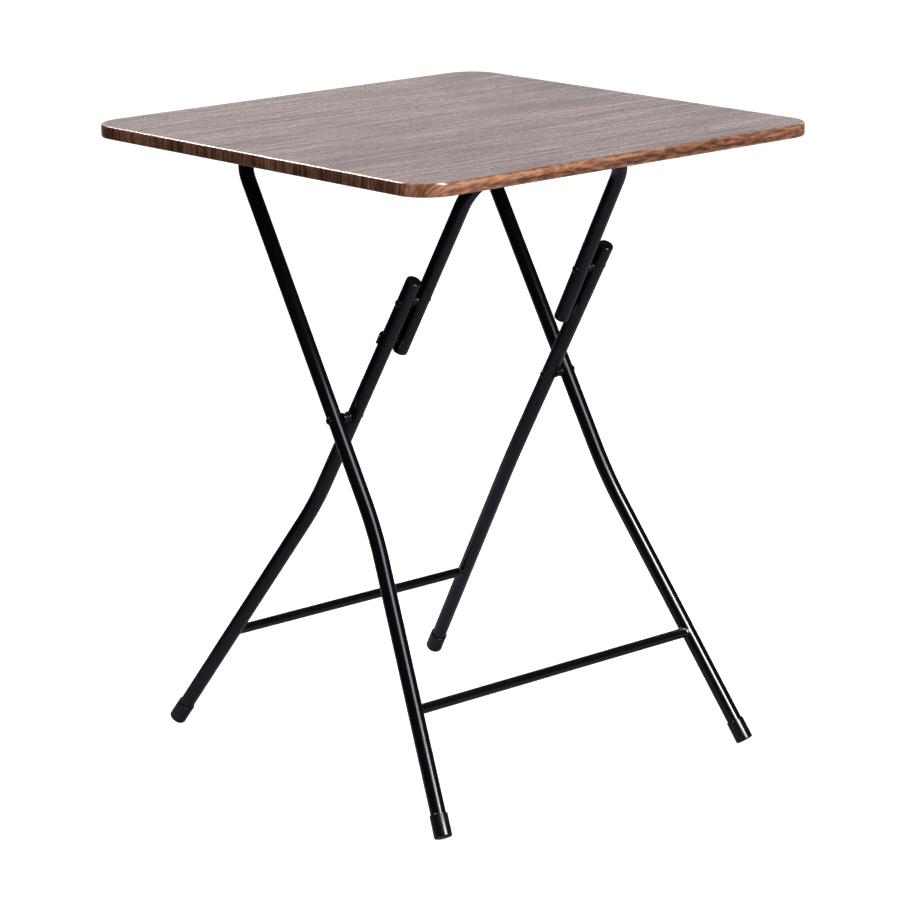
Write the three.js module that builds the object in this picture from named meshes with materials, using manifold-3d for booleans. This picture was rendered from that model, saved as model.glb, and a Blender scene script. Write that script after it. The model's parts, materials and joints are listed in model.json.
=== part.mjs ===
// A folding side table: a square wood-look top on a scissor of bent steel tubes with a locking knee.
// Millimetres, +Z up, X along the crossbars. The origin is on the floor under the middle of the top.

import * as THREE from "three";
import { mergeVertices } from "three/addons/utils/BufferGeometryUtils.js";
import Module from "manifold-3d";

const wasm = await Module();
wasm.setup();

// ---- Driving dimensions: tabletop ----
const TOP_LENGTH = 600;
const TOP_WIDTH = 600;
const TOP_THICKNESS = 15;
const TOP_HEIGHT = 752;
const TOP_CORNER_RADIUS = 42;
const BAND_THICKNESS = 2.5;
const BAND_ROUNDING = 2;
const BAND_GAP = 0.1;

// ---- Driving dimensions: tubes ----
const TUBE_RADIUS = 9;
const TUBE_WALL = 1.2;
const CROSSBAR_RADIUS = 6;
const CROSSBAR_WALL = 1;
const TOP_BEND_RADIUS = 45;
const LEG_BEND_RADIUS = 480;
const WELD_GAP = 0.3;

// ---- Driving dimensions: side view, as distances from the middle plane and heights ----
const HINGE_REACH = 175;
const HINGE_CLEARANCE = 1;
const SCISSOR_REACH = 0.5;
const SCISSOR_HEIGHT = 429;
const OVER_CENTRE = 2.2;
const KNEE_TO_INNER_END = 30;
const KNEE_TO_STRUT_END = 73.5;
const OUTER_BEND_HEIGHT = 311;
const OUTER_CROSSBAR_HEIGHT = 129.7;
const INNER_BEND_HEIGHT = 310;
const INNER_FOOT_REACH = 290;
const INNER_CROSSBAR_HEIGHT = 132;

// ---- Driving dimensions: front view, half width of the strut and what each leg adds to it ----
const STRUT_KNEE_HALF = 122.8;
const STRUT_TAPER = 5.8;
const KNEE_GAP = 8;
const INNER_SPREAD = 3.2;
const INNER_SPLAY = 57.7;
const SCISSOR_GAP = 10.8;
const OUTER_TAPER = 2.1;
const OUTER_SPLAY = 59.9;

// ---- Driving dimensions: rivets, collars and locking clips ----
const RIVET_RADIUS = 3;
const RIVET_HEAD_RADIUS = 4.5;
const RIVET_HEAD_HEIGHT = 2.2;
const RIVET_CLEARANCE = 0.2;
const FACE_GAP = 0.3;
const KNEE_COLLAR_RADIUS = 6;
const SCISSOR_COLLAR_RADIUS = 6.6;
const OPEN_PIVOT_GAP = 0.9;
const CLIP_FROM_KNEE = 58.5;
const CLIP_LENGTH = 14;
const CLIP_THICKNESS = 2.4;
const CLIP_CLEARANCE = 0.5;
const CLIP_WRAP_END = 26;
const CLIP_WRAP_START = 148;
const CLIP_TAB_BELOW = 6.5;
const CLIP_TAB_ABOVE = 4.5;
const CLIP_RIVET_RADIUS = 1.6;
const CLIP_RIVET_HEAD_RADIUS = 2.8;
const CLIP_RIVET_HEAD_HEIGHT = 1.2;

// ---- Driving dimensions: foot caps and end plugs ----
const CAP_WALL = 1.2;
const CAP_LENGTH = 27;
const CAP_FLOOR = 4;
const CAP_ROUNDING = 2;
const CAP_BORE_CLEARANCE = 0.3;
const PLUG_HEAD = 2.5;
const PLUG_STEM_LENGTH = 9;
const PLUG_CLEARANCE = 0.3;

// ---- Driving dimensions: hinge saddles and their screws ----
const SADDLE_THICKNESS = 1.5;
const SADDLE_CLEARANCE = 0.4;
const SADDLE_WIDTH = 22;
const SADDLE_EAR = 15;
const SADDLE_GAP = 0.1;
const SADDLE_FROM_BEND = 12;
const SCREW_RADIUS = 1.8;
const SCREW_DEPTH = 10;
const SCREW_HEAD_RADIUS = 3.6;
const SCREW_HEAD_HEIGHT = 2.2;
const SCREW_CLEARANCE = 0.3;

// ---- Fineness of the facets ----
const TUBE_SIDES = 16;
const SMALL_SIDES = 16;
const CAP_SIDES = 24;
const TOP_BEND_STEPS = 6;
const LEG_BEND_STEPS = 4;

const X_AXIS = new THREE.Vector3(1, 0, 0);
const Y_AXIS = new THREE.Vector3(0, 1, 0);
const Z_AXIS = new THREE.Vector3(0, 0, 1);
const SIDES = { left: -1, right: 1 };

// ---- Solids: booleans on closed meshes ----

// A closed solid for booleans, from a geometry whose shared corners are merged.
function solidFrom(geometry) {
  const bare = geometry.clone();
  bare.deleteAttribute("normal");
  bare.deleteAttribute("uv");
  const merged = mergeVertices(bare, 1e-4);
  const corners = merged.index.array;
  const kept = [];
  for (let i = 0; i < corners.length; i += 3) {
    const [a, b, c] = [corners[i], corners[i + 1], corners[i + 2]];
    if (a !== b && b !== c && c !== a) {
      kept.push(a, b, c);
    }
  }
  const mesh = new wasm.Mesh({
    numProp: 3,
    vertProperties: new Float32Array(merged.attributes.position.array),
    triVerts: new Uint32Array(kept),
  });
  return new wasm.Manifold(mesh);
}

// The three.js geometry of a solid.
function geometryFrom(solid) {
  const mesh = solid.getMesh();
  const geometry = new THREE.BufferGeometry();
  geometry.setAttribute("position", new THREE.BufferAttribute(mesh.vertProperties, 3));
  geometry.setIndex(new THREE.BufferAttribute(mesh.triVerts, 1));
  geometry.computeVertexNormals();
  return geometry;
}

// One geometry with each of the cutters taken away.
function cut(geometry, cutters) {
  let solid = solidFrom(geometry);
  for (const cutter of cutters) {
    solid = solid.subtract(solidFrom(cutter));
  }
  return geometryFrom(solid);
}

// ---- Shapes used by more than one piece ----

// A path of straight runs joined by arcs, with stations only where its direction changes.
class BentPath extends THREE.Curve {
  constructor(corners, radii, arcSteps) {
    super();
    const last = corners.length - 1;
    const runs = corners.slice(1).map((corner, i) => corner.clone().sub(corners[i]).normalize());
    this.points = [corners[0].clone()];
    this.directions = [runs[0].clone()];
    for (let i = 1; i < last; i += 1) {
      this.addArc(corners[i], runs[i - 1], runs[i], radii[i - 1], arcSteps[i - 1]);
    }
    this.points.push(corners[last].clone());
    this.directions.push(runs[last - 1].clone());
  }

  addArc(corner, before, after, radius, steps) {
    const turn = before.angleTo(after);
    const inward = after.clone().addScaledVector(before, -after.dot(before)).normalize();
    const start = corner.clone().addScaledVector(before, -radius * Math.tan(turn / 2));
    for (let k = 0; k <= steps; k += 1) {
      const angle = (turn * k) / steps;
      const forward = radius * Math.sin(angle);
      const sideways = radius * (1 - Math.cos(angle));
      this.points.push(start.clone().addScaledVector(before, forward).addScaledVector(inward, sideways));
      const direction = before.clone().multiplyScalar(Math.cos(angle));
      this.directions.push(direction.addScaledVector(inward, Math.sin(angle)));
    }
  }

  get steps() {
    return this.points.length - 1;
  }

  between(list, t) {
    const place = t * this.steps;
    const index = Math.min(Math.floor(place), this.steps - 1);
    return list[index].clone().lerp(list[index + 1], place - index);
  }

  getPoint(t) {
    return this.between(this.points, t);
  }

  getPointAt(u) {
    return this.between(this.points, u);
  }

  getTangentAt(u) {
    return this.between(this.directions, u).normalize();
  }
}

// A hollow round tube along a path.
function tubeAlong(path, radius, wall) {
  const section = new THREE.Shape().absarc(0, 0, radius, 0, 2 * Math.PI);
  section.holes.push(new THREE.Path().absarc(0, 0, radius - wall, 0, 2 * Math.PI));
  return new THREE.ExtrudeGeometry(section, {
    steps: path.steps,
    curveSegments: TUBE_SIDES / 2,
    extrudePath: path,
    bevelEnabled: false,
  });
}

// A round rod between two points, for cutting.
function rodBetween(start, end, radius) {
  const run = end.clone().sub(start);
  const rod = new THREE.CylinderGeometry(radius, radius, run.length(), SMALL_SIDES);
  const turn = new THREE.Quaternion().setFromUnitVectors(Y_AXIS, run.clone().normalize());
  const middle = start.clone().add(end).multiplyScalar(0.5);
  return rod.applyQuaternion(turn).translate(middle.x, middle.y, middle.z);
}

// A hole for a rivet through a tube at one point, along X.
function crossHole(point, radius) {
  const reach = X_AXIS.clone().multiplyScalar(TUBE_RADIUS + 2);
  return rodBetween(point.clone().sub(reach), point.clone().add(reach), radius + RIVET_CLEARANCE);
}

// A profile of radius and distance pairs, turned about the Y axis.
function turned(profile, sides = SMALL_SIDES) {
  return new THREE.LatheGeometry(profile.map(([radius, along]) => new THREE.Vector2(radius, along)), sides);
}

// The distance and radius pairs of a low dome from its rim to its tip.
function dome(rimAt, radius, height) {
  const pairs = [0.35, 0.7].map((share) => {
    const angle = (share * Math.PI) / 2;
    return [radius * Math.cos(angle), rimAt + height * Math.sin(angle)];
  });
  return [[radius, rimAt], ...pairs, [0, rimAt + height]];
}

// A point on the straight line through two points, at a height.
function atHeight(lower, upper, height) {
  return lower.clone().lerp(upper, (height - lower.z) / (upper.z - lower.z));
}

// ---- Layout: pivots in the side view ----
const underside = TOP_HEIGHT - TOP_THICKNESS;
const hingeDrop = TUBE_RADIUS + HINGE_CLEARANCE;
const hingeHeight = underside - hingeDrop;
const rearHinge = new THREE.Vector3(0, HINGE_REACH, hingeHeight);
const frontHinge = new THREE.Vector3(0, -HINGE_REACH, hingeHeight);
const scissor = new THREE.Vector3(0, SCISSOR_REACH, SCISSOR_HEIGHT);

// The knee divides the run from scissor to front hinge so that everything lies flat when folded:
// outer leg less inner run plus strut makes the spacing of the two hinges.
const scissorToFront = frontHinge.clone().sub(scissor);
const scissorToRear = rearHinge.distanceTo(scissor);
const kneeRun = (scissorToFront.length() + scissorToRear - 2 * HINGE_REACH) / 2;
const kneeLine = scissorToFront.clone().normalize();
const pastCentre = new THREE.Vector3().crossVectors(X_AXIS, kneeLine).normalize();
const knee = scissor.clone().addScaledVector(kneeLine, kneeRun).addScaledVector(pastCentre, OVER_CENTRE);

// ---- Layout: half widths in the front view, from the strut outwards ----
const strutHingeHalf = STRUT_KNEE_HALF - STRUT_TAPER;
const innerKneeHalf = STRUT_KNEE_HALF + 2 * TUBE_RADIUS + KNEE_GAP;
const innerScissorHalf = innerKneeHalf + INNER_SPREAD;
const outerScissorHalf = innerScissorHalf + 2 * TUBE_RADIUS + SCISSOR_GAP;
const outerHingeHalf = outerScissorHalf - OUTER_TAPER;

// ---- Layout: points on each tube's axis for one side ----
function strutPoints(side) {
  const hinge = frontHinge.clone().setX(side * strutHingeHalf);
  const kneePoint = knee.clone().setX(side * STRUT_KNEE_HALF);
  const down = kneePoint.clone().sub(hinge).normalize();
  const end = kneePoint.clone().addScaledVector(down, KNEE_TO_STRUT_END);
  const clip = kneePoint.clone().addScaledVector(down, CLIP_FROM_KNEE);
  return { hinge, knee: kneePoint, clip, end, down };
}

function innerPoints(side) {
  const kneePoint = knee.clone().setX(side * innerKneeHalf);
  const scissorPoint = scissor.clone().setX(side * innerScissorHalf);
  const up = kneePoint.clone().sub(scissorPoint).normalize();
  const top = kneePoint.clone().addScaledVector(up, KNEE_TO_INNER_END);
  const bend = atHeight(scissorPoint, kneePoint, INNER_BEND_HEIGHT);
  const foot = new THREE.Vector3(side * (innerScissorHalf + INNER_SPLAY), INNER_FOOT_REACH, 0);
  const bar = atHeight(foot, bend, INNER_CROSSBAR_HEIGHT);
  return { knee: kneePoint, scissor: scissorPoint, top, bend, foot, bar, up };
}

function outerPoints(side) {
  const hinge = rearHinge.clone().setX(side * outerHingeHalf);
  const scissorPoint = scissor.clone().setX(side * outerScissorHalf);
  const bend = atHeight(scissorPoint, hinge, OUTER_BEND_HEIGHT);
  const foot = atHeight(scissorPoint, hinge, 0).setX(side * (outerScissorHalf + OUTER_SPLAY));
  const bar = atHeight(foot, bend, OUTER_CROSSBAR_HEIGHT);
  return { hinge, scissor: scissorPoint, bend, foot, bar };
}

const capBore = TUBE_RADIUS + CAP_BORE_CLEARANCE;
const capRadius = capBore + CAP_WALL;

// Where a foot cap's flat base has its middle, so that the cap's lowest point is on the floor.
function capBase(foot, bend) {
  const up = bend.clone().sub(foot).normalize();
  const tilt = up.angleTo(Z_AXIS);
  const flatRadius = capRadius - CAP_ROUNDING;
  const height = CAP_ROUNDING + flatRadius * Math.sin(tilt) - CAP_ROUNDING * Math.cos(tilt);
  return { base: atHeight(foot, bend, height), up };
}

// Where a leg's tube ends inside its foot cap.
function tubeFoot(foot, bend) {
  const { base, up } = capBase(foot, bend);
  return base.clone().addScaledVector(up, CAP_FLOOR + CAP_BORE_CLEARANCE);
}

// ---- Materials: one for each piece ----
const finishes = {
  laminate: { color: 0x8a7468, roughness: 0.45, metalness: 0 },
  edging: { color: 0x7a4a33, roughness: 0.4, metalness: 0 },
  blackPaint: { color: 0x101012, roughness: 0.3, metalness: 0.4 },
  blackRubber: { color: 0x141414, roughness: 0.7, metalness: 0 },
  blackPlastic: { color: 0x161617, roughness: 0.5, metalness: 0 },
  darkSteel: { color: 0x1c1c1e, roughness: 0.35, metalness: 0.8 },
};

// A named piece with its own material, added to a group.
function addPiece(group, name, geometry, finish) {
  const mesh = new THREE.Mesh(geometry, new THREE.MeshStandardMaterial(finishes[finish]));
  mesh.name = name;
  group.add(mesh);
  return mesh;
}

// Sets a piece that was turned about Y on a point, with its Y axis along a direction.
function aim(mesh, point, direction) {
  mesh.position.copy(point);
  mesh.quaternion.setFromUnitVectors(Y_AXIS, direction);
}

const table = new THREE.Group();
const tabletop = new THREE.Group();
const outerLegs = new THREE.Group();
const innerLegs = new THREE.Group();
const strut = new THREE.Group();
table.add(tabletop, outerLegs, innerLegs, strut);

// ---- Tabletop: board and edge band ----

// The top's outline with rounded corners, moved in from its edge by an inset.
function topOutline(inset) {
  const x = TOP_LENGTH / 2 - TOP_CORNER_RADIUS;
  const y = TOP_WIDTH / 2 - TOP_CORNER_RADIUS;
  const radius = TOP_CORNER_RADIUS - inset;
  const outline = new THREE.Shape();
  outline.absarc(x, y, radius, 0, Math.PI / 2);
  outline.absarc(-x, y, radius, Math.PI / 2, Math.PI);
  outline.absarc(-x, -y, radius, Math.PI, 1.5 * Math.PI);
  outline.absarc(x, -y, radius, 1.5 * Math.PI, 2 * Math.PI);
  outline.closePath();
  return outline;
}

// A plate of the top's thickness or more, with square edges.
function topPlate(inset, extra) {
  const plate = new THREE.ExtrudeGeometry(topOutline(inset), {
    depth: TOP_THICKNESS + 2 * extra,
    bevelEnabled: false,
    curveSegments: 5,
  });
  return plate.translate(0, 0, underside - extra);
}

function edgeBand() {
  const slab = new THREE.ExtrudeGeometry(topOutline(0), {
    depth: TOP_THICKNESS - 2 * BAND_ROUNDING,
    bevelThickness: BAND_ROUNDING,
    bevelSize: BAND_ROUNDING,
    bevelOffset: -BAND_ROUNDING,
    bevelSegments: 3,
    curveSegments: 5,
  });
  slab.translate(0, 0, underside + BAND_ROUNDING);
  return cut(slab, [topPlate(BAND_THICKNESS, 1)]);
}

// ---- Hinge saddles: where each stands, and the screws that hold it ----
const saddles = [];
const bendToSaddle = TOP_BEND_RADIUS + SADDLE_FROM_BEND + SADDLE_WIDTH / 2;
for (const [sideName, side] of Object.entries(SIDES)) {
  const outerCentre = rearHinge.clone().setX(side * (outerHingeHalf - bendToSaddle));
  const strutCentre = frontHinge.clone().setX(side * (strutHingeHalf - bendToSaddle));
  saddles.push({ frame: "outer", sideName, centre: outerCentre });
  saddles.push({ frame: "strut", sideName, centre: strutCentre });
}
const saddleInner = TUBE_RADIUS + SADDLE_CLEARANCE;
const saddleOuter = saddleInner + SADDLE_THICKNESS;
const screwReach = saddleOuter + SADDLE_EAR / 2;
const earTop = hingeDrop - SADDLE_GAP;
const earBottom = earTop - SADDLE_THICKNESS;

// The strap in the side view: an ear on each side and a half round under the tube.
function saddleProfile() {
  const profile = new THREE.Shape();
  const earEnd = saddleOuter + SADDLE_EAR;
  profile.moveTo(-earEnd, earBottom);
  profile.lineTo(-saddleOuter, earBottom);
  profile.lineTo(-saddleOuter, 0);
  profile.absarc(0, 0, saddleOuter, Math.PI, 2 * Math.PI);
  profile.lineTo(saddleOuter, earBottom);
  profile.lineTo(earEnd, earBottom);
  profile.lineTo(earEnd, earTop);
  profile.lineTo(saddleInner, earTop);
  profile.lineTo(saddleInner, 0);
  profile.absarc(0, 0, saddleInner, 2 * Math.PI, Math.PI, true);
  profile.lineTo(-saddleInner, earTop);
  profile.lineTo(-earEnd, earTop);
  profile.closePath();
  return profile;
}

// The strap about its tube's axis, with a screw hole in each ear.
function saddleStrap() {
  const strap = new THREE.ExtrudeGeometry(saddleProfile(), {
    depth: SADDLE_WIDTH,
    bevelEnabled: false,
    curveSegments: 6,
  });
  strap.translate(0, 0, -SADDLE_WIDTH / 2);
  const sideView = new THREE.Matrix4().makeBasis(Y_AXIS, Z_AXIS, X_AXIS);
  strap.applyMatrix4(sideView);
  const holes = [-screwReach, screwReach].map((reach) => {
    const low = new THREE.Vector3(0, reach, earBottom - 1);
    const high = new THREE.Vector3(0, reach, earTop + 1);
    return rodBetween(low, high, SCREW_RADIUS + SCREW_CLEARANCE);
  });
  return cut(strap, holes);
}

// A screw along Y, with its head's seat at zero and its tip upward.
function saddleScrew() {
  const head = dome(0, SCREW_HEAD_RADIUS, SCREW_HEAD_HEIGHT).map(([radius, along]) => [radius, -along]);
  const tip = SADDLE_THICKNESS + SCREW_DEPTH;
  const shank = [[SCREW_RADIUS, 0], [SCREW_RADIUS, tip - 2], [0, tip]];
  return turned([...head.reverse(), ...shank], 12);
}

const pilotHoles = [];
for (const { centre } of saddles) {
  for (const reach of [-screwReach, screwReach]) {
    const mouth = centre.clone().add(new THREE.Vector3(0, reach, hingeDrop - 1));
    const bottom = mouth.clone().setZ(underside + SCREW_DEPTH + SCREW_CLEARANCE);
    pilotHoles.push(rodBetween(mouth, bottom, SCREW_RADIUS + SCREW_CLEARANCE));
  }
}

addPiece(tabletop, "tabletop_board", cut(topPlate(BAND_THICKNESS + BAND_GAP, 0), pilotHoles), "laminate");
addPiece(tabletop, "tabletop_edge_band", edgeBand(), "edging");
for (const { frame, sideName, centre } of saddles) {
  const strap = addPiece(tabletop, `${frame}_hinge_saddle_${sideName}`, saddleStrap(), "blackPaint");
  strap.position.copy(centre);
  for (const [place, sign] of [["front", -1], ["rear", 1]]) {
    const seat = new THREE.Vector3(0, sign * screwReach, earBottom - FACE_GAP).add(centre);
    const screwName = `${frame}_hinge_screw_${sideName}_${place}`;
    aim(addPiece(tabletop, screwName, saddleScrew(), "darkSteel"), seat, Z_AXIS);
  }
}

// ---- Leg frames: a bent tube over the top for the outer legs and the strut ----

function outerLegFrame() {
  const [left, right] = [outerPoints(-1), outerPoints(1)];
  const corners = [
    tubeFoot(left.foot, left.bend),
    left.bend,
    left.hinge,
    right.hinge,
    right.bend,
    tubeFoot(right.foot, right.bend),
  ];
  const radii = [LEG_BEND_RADIUS, TOP_BEND_RADIUS, TOP_BEND_RADIUS, LEG_BEND_RADIUS];
  const steps = [LEG_BEND_STEPS, TOP_BEND_STEPS, TOP_BEND_STEPS, LEG_BEND_STEPS];
  const tube = tubeAlong(new BentPath(corners, radii, steps), TUBE_RADIUS, TUBE_WALL);
  return cut(tube, [left.scissor, right.scissor].map((point) => crossHole(point, RIVET_RADIUS)));
}

function strutFrame() {
  const [left, right] = [strutPoints(-1), strutPoints(1)];
  const corners = [left.end, left.hinge, right.hinge, right.end];
  const radii = [TOP_BEND_RADIUS, TOP_BEND_RADIUS];
  const steps = [TOP_BEND_STEPS, TOP_BEND_STEPS];
  const tube = tubeAlong(new BentPath(corners, radii, steps), TUBE_RADIUS, TUBE_WALL);
  const kneeHoles = [left.knee, right.knee].map((point) => crossHole(point, RIVET_RADIUS));
  const clipHoles = [-1, 1].map((side) => {
    const axis = strutPoints(side).clip;
    const outside = axis.clone().add(new THREE.Vector3(side * (TUBE_RADIUS + 2), 0, 0));
    return rodBetween(axis, outside, CLIP_RIVET_RADIUS + RIVET_CLEARANCE);
  });
  return cut(tube, [...kneeHoles, ...clipHoles]);
}

function innerLeg(side) {
  const points = innerPoints(side);
  const corners = [tubeFoot(points.foot, points.bend), points.bend, points.top];
  const path = new BentPath(corners, [LEG_BEND_RADIUS], [LEG_BEND_STEPS]);
  const tube = tubeAlong(path, TUBE_RADIUS, TUBE_WALL);
  return cut(tube, [points.knee, points.scissor].map((point) => crossHole(point, RIVET_RADIUS)));
}

// A crossbar between two legs, its ends hollowed to the round of the legs it is welded to.
function crossbar(left, right) {
  const tube = tubeAlong(new BentPath([left.bar, right.bar], [], []), CROSSBAR_RADIUS, CROSSBAR_WALL);
  const legs = [left, right].map(({ foot, bend }) => rodBetween(foot, bend, TUBE_RADIUS + WELD_GAP));
  return cut(tube, legs);
}

// A foot cap about Y from its base up, with a bore for the tube.
function footCap() {
  const corner = (angle) => [
    capRadius - CAP_ROUNDING * (1 - Math.sin(angle)),
    CAP_ROUNDING * (1 - Math.cos(angle)),
  ];
  const rounding = [0, 0.25, 0.5].map((share) => corner(share * Math.PI));
  const rimEdge = CAP_WALL / 2;
  const rim = [[capRadius, CAP_LENGTH - rimEdge], [capRadius - rimEdge, CAP_LENGTH], [capBore, CAP_LENGTH]];
  return turned([[0, 0], ...rounding, ...rim, [capBore, CAP_FLOOR], [0, CAP_FLOOR]], CAP_SIDES);
}

// An end plug about Y: a stem inside the tube and a low domed head that closes it.
function endPlug() {
  const stem = TUBE_RADIUS - TUBE_WALL - PLUG_CLEARANCE;
  const head = dome(PLUG_HEAD / 2, TUBE_RADIUS, PLUG_HEAD / 2);
  return turned([[0, -PLUG_STEM_LENGTH], [stem, -PLUG_STEM_LENGTH], [stem, 0], [TUBE_RADIUS, 0], ...head]);
}

// A rivet's shank about Y from start to end, with a domed head at either end that has one.
function rivet(start, end, headAtEnd, headAtStart) {
  const head = dome(0, RIVET_HEAD_RADIUS, RIVET_HEAD_HEIGHT);
  const low = headAtStart ? head.map(([radius, along]) => [radius, start - along]).reverse() : [[0, start]];
  const high = headAtEnd ? head.map(([radius, along]) => [radius, end + along]) : [[0, end]];
  return turned([...low, [RIVET_RADIUS, start], [RIVET_RADIUS, end], ...high]);
}

// A round collar about Y with a bore for the rivet.
function collar(radius, start, end) {
  const bore = RIVET_RADIUS + RIVET_CLEARANCE;
  return turned([[bore, start], [radius, start], [radius, end], [bore, end], [bore, start]]);
}

// ---- Locking clip: a strip that hooks over the inner leg from behind ----
function lockingClip(side) {
  const outward = X_AXIS.clone().multiplyScalar(side);
  const inner = innerPoints(side);
  const strutClip = strutPoints(side).clip;
  const across = new THREE.Vector3().crossVectors(X_AXIS, inner.up).normalize().negate();
  const along = new THREE.Vector3().crossVectors(outward, across).normalize();
  const leg = inner.knee.clone().addScaledVector(inner.up, -CLIP_FROM_KNEE).sub(strutClip);
  const apart = leg.dot(outward);
  const legOffset = leg.dot(across);
  const inside = TUBE_RADIUS + CLIP_CLEARANCE;
  const outside = inside + CLIP_THICKNESS;
  const tabFace = TUBE_RADIUS + FACE_GAP;
  const toRadians = THREE.MathUtils.degToRad;
  const [wrapStart, wrapEnd] = [toRadians(CLIP_WRAP_START), toRadians(CLIP_WRAP_END)];
  const strip = new THREE.Shape();
  strip.moveTo(tabFace, -CLIP_TAB_BELOW);
  strip.lineTo(tabFace + CLIP_THICKNESS, -CLIP_TAB_BELOW);
  strip.lineTo(tabFace + CLIP_THICKNESS, CLIP_TAB_ABOVE - 1);
  strip.absarc(apart, legOffset, inside, wrapStart, wrapEnd, true);
  strip.absarc(apart, legOffset, outside, wrapEnd, wrapStart, false);
  strip.lineTo(tabFace, CLIP_TAB_ABOVE + 1);
  strip.closePath();
  const settings = { depth: CLIP_LENGTH, bevelEnabled: false, curveSegments: 5 };
  const hook = new THREE.ExtrudeGeometry(strip, settings);
  hook.translate(0, 0, -CLIP_LENGTH / 2);
  hook.applyMatrix4(new THREE.Matrix4().makeBasis(outward, across, along).setPosition(strutClip));
  const beyond = strutClip.clone().addScaledVector(outward, tabFace + CLIP_THICKNESS + 1);
  return cut(hook, [rodBetween(strutClip, beyond, CLIP_RIVET_RADIUS + RIVET_CLEARANCE)]);
}

// A blind rivet about Y through the clip's tab and the strut's near wall.
function clipRivet() {
  const seat = TUBE_RADIUS + 2 * FACE_GAP + CLIP_THICKNESS;
  const head = dome(seat, CLIP_RIVET_HEAD_RADIUS, CLIP_RIVET_HEAD_HEIGHT);
  const shankEnd = TUBE_RADIUS - TUBE_WALL - 2;
  return turned([[0, shankEnd], [CLIP_RIVET_RADIUS, shankEnd], [CLIP_RIVET_RADIUS, seat], ...head], 12);
}

// ---- Pieces that are there once ----
addPiece(outerLegs, "outer_leg_frame", outerLegFrame(), "blackPaint");
addPiece(outerLegs, "outer_crossbar", crossbar(outerPoints(-1), outerPoints(1)), "blackPaint");
addPiece(innerLegs, "inner_crossbar", crossbar(innerPoints(-1), innerPoints(1)), "blackPaint");
addPiece(strut, "strut_frame", strutFrame(), "blackPaint");

// ---- Pieces that are there once on each side ----
for (const [sideName, side] of Object.entries(SIDES)) {
  const outward = X_AXIS.clone().multiplyScalar(side);
  const outer = outerPoints(side);
  const inner = innerPoints(side);
  const strutSide = strutPoints(side);

  addPiece(innerLegs, `inner_leg_${sideName}`, innerLeg(side), "blackPaint");
  for (const [group, name, { foot, bend }] of [[outerLegs, "outer", outer], [innerLegs, "inner", inner]]) {
    const { base, up } = capBase(foot, bend);
    aim(addPiece(group, `${name}_foot_cap_${sideName}`, footCap(), "blackRubber"), base, up);
  }
  aim(addPiece(innerLegs, `inner_leg_plug_${sideName}`, endPlug(), "blackPlastic"), inner.top, inner.up);
  aim(addPiece(strut, `strut_plug_${sideName}`, endPlug(), "blackPlastic"), strutSide.end, strutSide.down);

  // Scissor pivot: the outer leg keeps the rivet's head half, and the inner leg its tail half and collar.
  const seat = TUBE_RADIUS + FACE_GAP;
  const headHalf = rivet(-TUBE_RADIUS, seat, true, false);
  aim(addPiece(outerLegs, `scissor_rivet_head_${sideName}`, headHalf, "darkSteel"), outer.scissor, outward);
  const collarEnd = TUBE_RADIUS + SCISSOR_GAP - OPEN_PIVOT_GAP;
  const tailHalf = rivet(-seat, collarEnd, false, true);
  aim(addPiece(innerLegs, `scissor_rivet_tail_${sideName}`, tailHalf, "darkSteel"), inner.scissor, outward);
  const spacer = collar(SCISSOR_COLLAR_RADIUS, seat, collarEnd);
  aim(addPiece(innerLegs, `scissor_collar_${sideName}`, spacer, "blackPlastic"), inner.scissor, outward);

  // Knee pivot: one rivet through the strut, a collar and the inner leg.
  const kneeSpan = 2 * TUBE_RADIUS + KNEE_GAP;
  const kneeRivet = rivet(-seat, kneeSpan + seat, true, true);
  aim(addPiece(strut, `knee_rivet_${sideName}`, kneeRivet, "darkSteel"), strutSide.knee, outward);
  const kneeCollar = collar(KNEE_COLLAR_RADIUS, seat, kneeSpan - seat);
  aim(addPiece(strut, `knee_collar_${sideName}`, kneeCollar, "blackPlastic"), strutSide.knee, outward);

  addPiece(strut, `locking_clip_${sideName}`, lockingClip(side), "blackPaint");
  aim(addPiece(strut, `clip_rivet_${sideName}`, clipRivet(), "darkSteel"), strutSide.clip, outward);
}

export default table;
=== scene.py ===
import json
import math

import bpy
import numpy as np
from mathutils import Matrix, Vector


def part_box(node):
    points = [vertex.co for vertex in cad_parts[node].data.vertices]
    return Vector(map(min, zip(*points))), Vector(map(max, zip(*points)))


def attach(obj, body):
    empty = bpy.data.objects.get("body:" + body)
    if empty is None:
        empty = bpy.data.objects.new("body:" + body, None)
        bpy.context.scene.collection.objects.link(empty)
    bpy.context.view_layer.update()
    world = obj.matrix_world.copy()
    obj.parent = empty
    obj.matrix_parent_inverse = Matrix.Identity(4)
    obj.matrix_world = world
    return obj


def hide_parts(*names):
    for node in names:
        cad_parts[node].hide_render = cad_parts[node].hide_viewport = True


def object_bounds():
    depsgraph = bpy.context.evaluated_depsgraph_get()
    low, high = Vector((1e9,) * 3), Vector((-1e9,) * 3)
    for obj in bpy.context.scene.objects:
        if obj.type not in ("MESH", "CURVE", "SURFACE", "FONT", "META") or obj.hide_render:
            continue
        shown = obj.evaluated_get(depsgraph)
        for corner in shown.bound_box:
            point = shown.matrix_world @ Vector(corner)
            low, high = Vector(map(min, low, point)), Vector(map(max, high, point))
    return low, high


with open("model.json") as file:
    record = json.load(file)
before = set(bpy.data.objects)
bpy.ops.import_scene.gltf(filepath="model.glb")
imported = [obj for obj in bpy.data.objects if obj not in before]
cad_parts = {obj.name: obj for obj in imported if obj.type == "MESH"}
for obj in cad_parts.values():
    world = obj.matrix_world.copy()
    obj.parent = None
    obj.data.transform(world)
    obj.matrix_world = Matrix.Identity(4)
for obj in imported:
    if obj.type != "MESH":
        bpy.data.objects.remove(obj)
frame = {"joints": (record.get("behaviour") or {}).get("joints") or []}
cad_low, cad_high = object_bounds()


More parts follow.
